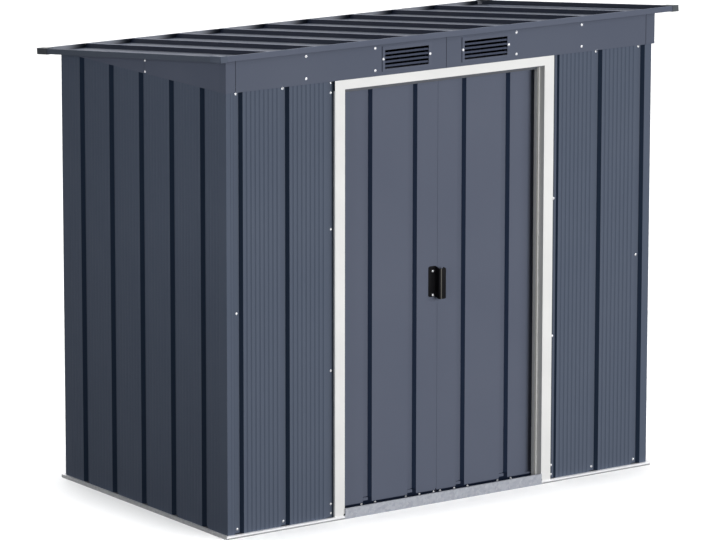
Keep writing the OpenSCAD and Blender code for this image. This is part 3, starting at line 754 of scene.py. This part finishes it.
# %% Assign by slot
FINISH_OF = {
    "painted_sheet": paint,
    "white_frame": jamb_enamel,
    "galvanised": zinc,
    "black_plastic": black_plastic,
    "cap_plastic": cap_plastic,
}
SPECIAL = {name: wall_paint for name in nodes if "_wall_" in name}
SPECIAL.update({name: side_wall_paint for name in nodes if name.startswith(("left_wall_", "right_wall_"))})
SPECIAL.update({name: fascia_paint for name in nodes if name.startswith("fascia_")})
SPECIAL.update({name: vent_paint for name in nodes if name.startswith("vent_")})
SPECIAL.update({name: roof_paint for name in nodes if name.startswith("roof_sheet_")})
SPECIAL.update({name: rail_zinc for name in nodes if name.startswith("base_rail_")})
SPECIAL.update({name: rail_plastic for name in nodes if name.endswith("_foot_rail")})
SPECIAL.update({"roof_trim_front": trim_paint, "roof_trim_right": trim_paint})
SPECIAL.update({"roof_trim_left": left_trim_paint, "roof_trim_rear": rear_trim_paint})
SPECIAL.update({"front_wall_right": door_wall_paint, "door_header": header_enamel})
SPECIAL["base_rail_front"] = ledge_zinc

for part in frame["record"]["subparts"]:
    for slot in nodes[part["node"]].material_slots:
        slot.material = SPECIAL.get(part["node"], FINISH_OF[part["material_slot"]])

# %% [markdown]
# ## One screw head
# A pan head is a low dome with a cross cut into it. A lathe shape alone has no cross, and a cut with a
# boolean is slow and leaves ragged faces. So the middle of the head is a small square grid, pushed out
# to a circle, whose two middle lines are pressed down to make the cross. Rings of points carry the dome
# on down to the washer.

# %% Model the head
HEAD_CELLS = 6
RECESS_RADIUS = 2.2 * MM
RECESS_DEPTH = 1.0 * MM
# Radius and height of each ring of points round the recess, in millimetres
HEAD_RINGS = [(2.9, 2.25), (3.5, 1.8), (3.9, 1.1), (3.9, 0.6), (4.9, 0.5), (5.1, 0.0)]
HEAD_TOP = 2.5 * MM


def screw_head():
    """Points and faces of one head, standing on z = 0 and looking along +Z."""
    half = HEAD_CELLS // 2
    steps = range(-half, half + 1)
    points = []
    for b in steps:
        for a in steps:
            reach = RECESS_RADIUS * max(abs(a), abs(b)) / half / (math.hypot(a, b) or 1)
            in_cross = min(abs(a), abs(b)) == 0 and max(abs(a), abs(b)) < half
            points.append(Vector((a * reach, b * reach, HEAD_TOP - (RECESS_DEPTH if in_cross else 0))))
    row = HEAD_CELLS + 1
    faces = [
        [j * row + i, j * row + i + 1, (j + 1) * row + i + 1, (j + 1) * row + i]
        for j in range(HEAD_CELLS)
        for i in range(HEAD_CELLS)
    ]
    rim = [i for i, p in enumerate(points) if abs(p.xy.length - RECESS_RADIUS) < TOUCHING]
    rim.sort(key=lambda i: math.atan2(points[i].y, points[i].x))
    for radius, height in HEAD_RINGS:
        ring = [len(points) + i for i in range(len(rim))]
        points += [Vector((*(points[i].xy.normalized() * radius * MM), height * MM)) for i in rim]
        faces += [[rim[i - 1], ring[i - 1], ring[i], rim[i]] for i in range(len(rim))]
        rim = ring
    return points, faces


head = screw_head()
print("screw head:", len(head[0]), "points,", len(head[1]), "faces")

# %% [markdown]
# ## Where the screws go
# Sheets are screwed to rails and posts in the floors of their grooves, where the sheet touches the
# rail. The places could be typed in, but a screw beside its groove would hang in the air, so they are
# found from the floors of the grooves. The groove beside the door frame is shallower, so it is measured
# on its own. The heights follow the rails behind: foot rail, eave, and two rows between them on the
# doorway side. At the top right of the frame there are none.

# %% Measure the grooves
BESIDE_FRAME = 40 * MM

groove_back = high("front_wall_right").y
middle_groove, corner_groove = groove_middles("front_wall_right", groove_back)
frame_side = high("door_jamb_right").x + BESIDE_FRAME
door_back = max(p.co.y for p in nodes["front_wall_right"].data.vertices if p.co.x < frame_side)
(door_groove,) = groove_middles("front_wall_right", door_back)
print("front grooves at x", [round(x, 4) for x in (door_groove, middle_groove, corner_groove)])

# %% [markdown]
# A seat for a screw is a point on the sheet and the direction that the sheet faces. No two screws are
# driven to the same angle, so each head is also spun by the golden angle times its number: even, never
# repeating, and the same on every run.

# %% Seats for screws
FRONT = Vector((0, -1, 0))
REAR = Vector((0, 1, 0))
GOLDEN_ANGLE = math.radians(137.508)
FOOT_UP = 15 * MM
EAVE_DOWN = 9 * MM
LEFT_TOWARDS_DOOR = 5.5 * MM
RIGHT_FROM_DOOR = 3.5 * MM
CORNER_ROW = 0.853
DOOR_ROWS = (0.581, 1.125)
SECOND_UP = 37 * MM
SECOND_DOWN = 36 * MM


def in_pairs(xs, y, heights, facing):
    """Seats at each x and its mirror image, at each height."""
    return [(Vector((side * x, y, z)), facing) for x in xs for z in heights for side in (-1, 1)]


def seated(seats):
    """The screw heads of all seats, as one list of points and one of faces."""
    points = []
    faces = []
    for number, (at, facing) in enumerate(seats):
        spin = Matrix.Rotation(number * GOLDEN_ANGLE, 4, "Z")
        place = Matrix.Translation(at) @ facing.to_track_quat("Z", "Y").to_matrix().to_4x4() @ spin
        faces += [[len(points) + i for i in face] for face in head[1]]
        points += [place @ p for p in head[0]]
    return points, faces


foot = ledge + FOOT_UP
top = eave - EAVE_DOWN
groove_y = groove_back - SHEET_T
walls = in_pairs([corner_groove], groove_y, [foot, CORNER_ROW, top], FRONT)
walls += in_pairs([middle_groove], groove_y, [foot, top], FRONT)
right_rows = [foot, foot + SECOND_UP, *DOOR_ROWS]
left_rows = [*right_rows, top - SECOND_DOWN, top]
left_x = LEFT_TOWARDS_DOOR - door_groove
right_x = RIGHT_FROM_DOOR + door_groove
for x, rows in ((left_x, left_rows), (right_x, right_rows)):
    walls += [(Vector((x, door_back - SHEET_T, z)), FRONT) for z in rows]
print("front wall:", len(walls), "screws")

# %% [markdown]
# The fascia is screwed to the uprights behind it in pairs, each vent by one screw at either end, and
# the two halves of a gable meet over the middle post with one screw above the other. Only the distances
# that no node tells are typed. The faces that the screws sit on come from the boxes of the pieces.

# %% More seats on the shed
FASCIA_SCREWS_X = [0.330, 0.644]
FASCIA_SCREWS_UP = [22 * MM, 106 * MM]
VENT_BORDER = 7 * MM
GABLE_SCREWS_UP = [8 * MM, 50 * MM]
SEAM_AWAY = 35 * MM

fascia_y = low("fascia_left").y
fixings = in_pairs(FASCIA_SCREWS_X, fascia_y, [eave + up for up in FASCIA_SCREWS_UP], FRONT)
vent_low, vent_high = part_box("vent_right")
vent_z = (vent_low.z + vent_high.z) / 2
fixings += in_pairs([vent_low.x + VENT_BORDER, vent_high.x - VENT_BORDER], vent_low.y, [vent_z], FRONT)
gable_out = high("gable_right").x
wall_middle = (front_face + rear_face) / 2
for side in (-1, 1):
    for up in GABLE_SCREWS_UP:
        seat = Vector((side * gable_out, wall_middle - SEAM_AWAY, eave + up))
        fixings.append((seat, Vector((side, 0, 0))))
print("fascia, vents and gables:", len(fixings), "screws")

# %% [markdown]
# The rear wall, which the picture doesn't show, is fixed as the front is: in each groove, at the foot
# and under the eave. Its grooves are found in the same way, so no screw misses its groove.

# %% Seats on the rear wall
REAR_EAVE_DOWN = 20 * MM

rear_deep = low("rear_wall_middle").y
rear_xs = {round(abs(x), 3) for x in groove_middles("rear_wall_middle", rear_deep)[1:-1]}
rear_xs |= {round(abs(x), 3) for x in groove_middles("rear_wall_left", low("rear_wall_left").y)}
rear_seats = in_pairs(sorted(rear_xs), rear_deep + SHEET_T, [foot, top - REAR_EAVE_DOWN], REAR)
print("rear wall:", len(rear_seats), "screws")

# %% [markdown]
# Dozens of heads as objects of their own would crowd the list of pieces, and none of them ever moves by
# itself. So all heads on the shed are joined in one mesh, which rides with the shed.

# %% Join the shed's screws
shed_screws = mesh_piece("shed_screws", *seated(walls + fixings + rear_seats), plated)
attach(shed_screws, "shed")
print("shed screws:", len(shed_screws.data.polygons), "faces")

# %% [markdown]
# The foot rails of the leaves are screwed on from the front, beside each groove and beside the seam, so
# half of each head shows over the sill. One drilling jig serves both leaves, so all screws sit a little
# to the right. All could be one mesh, but each leaf slides by itself, so each has a mesh of its own,
# which rides with it.

# %% Screws of the leaves
BESIDE_GROOVE = 32 * MM
BESIDE_SEAM = 13 * MM
FOOT_RAIL_SCREW_DOWN = 12 * MM
JIG_OFFSET = 4.5 * MM

leaf_face = leaf_low.y
rail_xs = [leaf_low.x + BESIDE_SEAM]
rail_xs += [x + side * BESIDE_GROOVE for x in leaf_grooves for side in (-1, 1)]
rail_z = leaf_low.z - FOOT_RAIL_SCREW_DOWN
for hand, body in ((-1, "left_door"), (1, "right_door")):
    leaf_seats = [(Vector((hand * x + JIG_OFFSET, leaf_face, rail_z)), FRONT) for x in rail_xs]
    leaf_screws = mesh_piece(body + "_screws", *seated(leaf_seats), plated)
    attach(leaf_screws, body)
    print(leaf_screws.name, "at x", [round(seat.x, 4) for seat, _ in leaf_seats])

# %% [markdown]
# ## The pull
# The pull is one strip of black plastic, bent twice: a flange screwed to the left leaf, a web that
# stands out from it, and a grip that folds over the seam, with its free edge rolled in so that it
# doesn't cut the hand. The construction has it as three plates. Here the line of the strip, seen from
# above, is drawn once, with every corner rounded, and then drawn out over the height. Solidify gives it
# its thickness.

# %% The line of the strip
PULL_T = 2.5 * MM
PULL_BEND = 4.0 * MM
PULL_ROLL = 8.0 * MM
FLANGE_W = 32.0 * MM
BEND_STEPS = 6


def rounded(corners, radius):
    """A line through square corners, each one rounded."""
    line = [corners[0]]
    for before, corner, after in zip(corners, corners[1:], corners[2:]):
        back = (before - corner).normalized()
        on = (after - corner).normalized()
        middle = corner + radius * (back + on)
        for step in range(BEND_STEPS + 1):
            angle = math.pi / 2 * step / BEND_STEPS
            line.append(middle - radius * (math.cos(angle) * on + math.sin(angle) * back))
    return line + [corners[-1]]


pull_low, pull_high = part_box("left_leaf_pull")
web_x = pull_low.x + FLANGE_W - PULL_T / 2
flange_y = pull_high.y - PULL_T / 2
grip_y = pull_low.y + PULL_T / 2
roll_x = pull_high.x - PULL_T / 2
corners = [(pull_low.x, flange_y), (web_x, flange_y), (web_x, grip_y), (roll_x, grip_y)]
corners += [(roll_x, grip_y + PULL_ROLL), (roll_x - PULL_ROLL, grip_y + PULL_ROLL)]
strip = rounded([Vector(corner) for corner in corners], PULL_BEND)
print("pull: a line of", len(strip), "points")

# %% [markdown]
# The corners of the flange and of the grip are rounded too. The strip is cut into short steps, and the
# height of each step follows a circle near either end. A boolean cut could do that too, but it leaves
# long thin faces. The web is cut on a slope, so the grip hangs lower. A pale line on the grip, beside
# its fold, is a painted highlight. The two screws in the flange ride along as a piece of their own.

# %% Draw out the strip
PULL_CORNER = 8.0 * MM
STRIP_STEP = 1.0 * MM
PULL_SCREW_X = 20.0 * MM
PULL_SCREW_UP = 46.5 * MM
PULL_SHORT = 2.8 * MM
FLANGE_UP = 8.0 * MM
GRIP_UP = 1.5 * MM
SCREWS_UP = 2.2 * MM
# Painted highlight on the grip beside its fold.
PAINTED_GRIP_HIGHLIGHT = (0.11, 0.105, 0.095)
HIGHLIGHT_FROM = 6.5 * MM
HIGHLIGHT_TO = 10.5 * MM
PULL_EDGE = 0.7 * MM
PULL_EDGE_STEPS = 2


def cut_up(line, step):
    """The same line with points no further apart than a step."""
    cut = [line[0]]
    for start, end in zip(line, line[1:]):
        parts = max(1, math.ceil((end - start).length / step))
        cut += [start.lerp(end, i / parts) for i in range(1, parts + 1)]
    return cut


def pull_half(x):
    """Half the height of the pull at x, less near its ends."""
    near_end = max(pull_low.x + PULL_CORNER - x, x - (pull_high.x - PULL_CORNER), 0.0)
    near_end = min(near_end, PULL_CORNER)
    straight = (pull_high.z - pull_low.z) / 2 - PULL_SHORT - PULL_CORNER
    return straight + math.sqrt(PULL_CORNER**2 - near_end**2)


def pull_middle(y):
    """Height of the middle of the pull, which falls from the flange to the grip."""
    return pull_z + GRIP_UP + (FLANGE_UP - GRIP_UP) * (y - grip_y) / (flange_y - grip_y)


grip_highlight = all_of(
    looks_forward,
    where("Y", BELOW, pull_low.y + PULL_T),
    where("X", ABOVE, web_x + HIGHLIGHT_FROM),
    where("X", BELOW, web_x + HIGHLIGHT_TO),
)
pull_plastic = moulded_plastic("pull_plastic", BLACK, BLACK_FADED, PLASTIC_SPECULAR, [(grip_highlight, PAINTED_GRIP_HIGHLIGHT)])
pull_z = (pull_low.z + pull_high.z) / 2
line = cut_up(strip, STRIP_STEP)
points = [
    Vector((p.x, p.y, pull_middle(p.y) + side * pull_half(p.x)))
    for p in line
    for side in (-1, 1)
]
faces = [[2 * i, 2 * i + 2, 2 * i + 3, 2 * i + 1] for i in range(len(line) - 1)]
pull = mesh_piece("door_pull", points, faces, pull_plastic)
thick = pull.modifiers.new("thickness", "SOLIDIFY")
thick.thickness = PULL_T
thick.offset = 0.0
soft = pull.modifiers.new("soft edges", "BEVEL")
soft.width = PULL_EDGE
soft.segments = PULL_EDGE_STEPS
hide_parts("left_leaf_pull")
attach(pull, "left_door")

pull_seats = [
    (Vector((-PULL_SCREW_X, pull_high.y - PULL_T, pull_z + SCREWS_UP + up)), FRONT)
    for up in (-PULL_SCREW_UP, PULL_SCREW_UP)
]
pull_screws = mesh_piece("pull_screws", *seated(pull_seats), plated)
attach(pull_screws, "left_door")
print("pull:", len(faces), "steps,", len(pull_seats), "screws")

# %% [markdown]
# ## Where the leaves meet
# The right leaf carries a narrow lip behind the seam, so that no daylight shows between the closed
# leaves. It is a strip of the same sheet, set just behind the faces. A gap left open would draw a black
# line down the middle of the doorway.

# %% Lip behind the seam
LIP_BACK = 0.8 * MM
LIP_ROOM = 0.6 * MM

left_edge = high("left_leaf_sheet").x + LIP_ROOM
lip_y = leaf_face + LIP_BACK
points = [
    Vector((x, y, z))
    for y in (lip_y, lip_y + SHEET_T)
    for z in (leaf_low.z, leaf_high.z)
    for x in (left_edge, leaf_low.x)
]
faces = [[0, 1, 3, 2], [5, 4, 6, 7], [4, 0, 2, 6], [2, 3, 7, 6], [1, 0, 4, 5], [1, 5, 7, 3]]
lip = mesh_piece("right_leaf_lip", points, faces, paint)
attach(lip, "right_door")
print("lip:", round((leaf_low.x - left_edge) / MM, 2), "mm wide")

# %% [markdown]
# ## Floor and background
# The object stands on a plain white floor. A floor that is white in every sense would throw so much
# light back up that the shaded wall would vanish, so the floor shows its full white only to the camera
# and to reflections, and lights the shed like a grey one. It still takes the shed's own soft shadow.

# %% Lay the floor
FLOOR_HALF = 90.0
FLOOR_WHITE = (0.97, 0.97, 0.97)
FLOOR_GREY = (0.05, 0.05, 0.05)


def seen_directly(tree):
    """1 for rays that come from the camera, a reflection or through glass, 0 for light on its way."""
    path = tree.nodes.new("ShaderNodeLightPath")
    total = path.outputs["Is Camera Ray"]
    for other in ("Is Glossy Ray", "Is Transmission Ray"):
        total = reckon(tree, "MAXIMUM", total, path.outputs[other])
    return total


def floor_finish():
    """White where it is looked at, grey where it only passes light on."""
    finish, tree, shader, _ = start_finish("floor_white")
    tone = blend_colours(tree, seen_directly(tree), FLOOR_GREY, FLOOR_WHITE)
    tree.links.new(tone, shader.inputs["Base Color"])
    shader.inputs["Roughness"].default_value = 1.0
    shader.inputs["Specular IOR Level"].default_value = 0.0
    return finish


corners = [Vector((x, y, 0)) * FLOOR_HALF for x, y in ((-1, -1), (1, -1), (1, 1), (-1, 1))]
floor = mesh_piece("floor", corners, [[0, 1, 2, 3]], floor_finish())
print("floor laid,", 2 * FLOOR_HALF, "m across")

# %% [markdown]
# ## Light
# A studio lights such a picture with big soft boxes. The world stands in for the white room: plain
# white where it is seen or mirrored, dimmer where it only fills the shadows. A weak lamp from the front
# right and one from the left open the folds and the reveal of the doorway. One from above lights the
# roof and the floor, and one from behind the roof's ribs. These stand so far away that their light
# comes evenly. The front and the wall on the left fade a little towards the ground, so their lamps have
# to stand near: two soft boxes, a large one in front and a small one at the left, both a little higher
# than the roof.

# %% World and lamps
ROOM_FILL = 0.10
KEY_BOX_AT = Vector((0.9, -7.6, 2.2))
KEY_BOX_AIM = Vector((0.0, -0.56, 1.1))
SIDE_BOX_AT = Vector((-2.70, -0.42, 1.86))
SIDE_BOX_AIM = Vector((-1.0, -0.15, 1.45))
WHITE = (1.0, 1.0, 1.0)
COOL_WHITE = (0.96, 1.0, 1.05)


def white_room():
    """A world that is white to look at and dimmer as a light."""
    world = bpy.data.worlds.new("white_room")
    world.use_nodes = True
    tree = world.node_tree
    strength = add_node(tree, "ShaderNodeMapRange", Value=seen_directly(tree))
    strength.inputs["To Min"].default_value = ROOM_FILL
    strength.inputs["To Max"].default_value = 1.0
    background = tree.nodes["Background"]
    background.inputs["Color"].default_value = (*WHITE, 1.0)
    tree.links.new(strength.outputs["Result"], background.inputs["Strength"])
    bpy.context.scene.world = world


def soft_sun(name, bearing, height, strength, spread):
    """A lamp as far away as the sun, from a bearing and height in degrees, as soft as its spread."""
    data = bpy.data.lights.new(name, "SUN")
    data.energy = strength * math.pi
    data.angle = math.radians(spread)
    lamp = bpy.data.objects.new(name, data)
    tilt = Matrix.Rotation(math.radians(90 - height), 4, "X")
    lamp.matrix_world = Matrix.Rotation(math.radians(bearing), 4, "Z") @ tilt
    bpy.context.scene.collection.objects.link(lamp)
    return lamp


def soft_box(name, at, aim, power, side, colour):
    """A square lamp at a place, aimed at another."""
    data = bpy.data.lights.new(name, "AREA")
    data.energy = power
    data.size = side
    data.color = colour
    lamp = bpy.data.objects.new(name, data)
    lamp.matrix_world = Matrix.Translation(at) @ (at - aim).to_track_quat("Z", "Y").to_matrix().to_4x4()
    bpy.context.scene.collection.objects.link(lamp)
    return lamp


white_room()
lamps = [
    soft_box("key", KEY_BOX_AT, KEY_BOX_AIM, power=366.0, side=3.2, colour=WHITE),
    soft_sun("right", bearing=44.0, height=9.0, strength=0.28, spread=24.0),
    soft_sun("fill", bearing=-62.0, height=7.0, strength=0.15, spread=24.0),
    soft_sun("overhead", bearing=0.0, height=90.0, strength=1.0, spread=24.0),
    soft_sun("back", bearing=165.0, height=28.0, strength=0.40, spread=50.0),
    soft_box("side", SIDE_BOX_AT, SIDE_BOX_AIM, power=9.5, side=0.8, colour=COOL_WHITE),
]
bpy.context.scene.view_settings.view_transform = "Standard"
print("lamps:", [lamp.name for lamp in lamps])
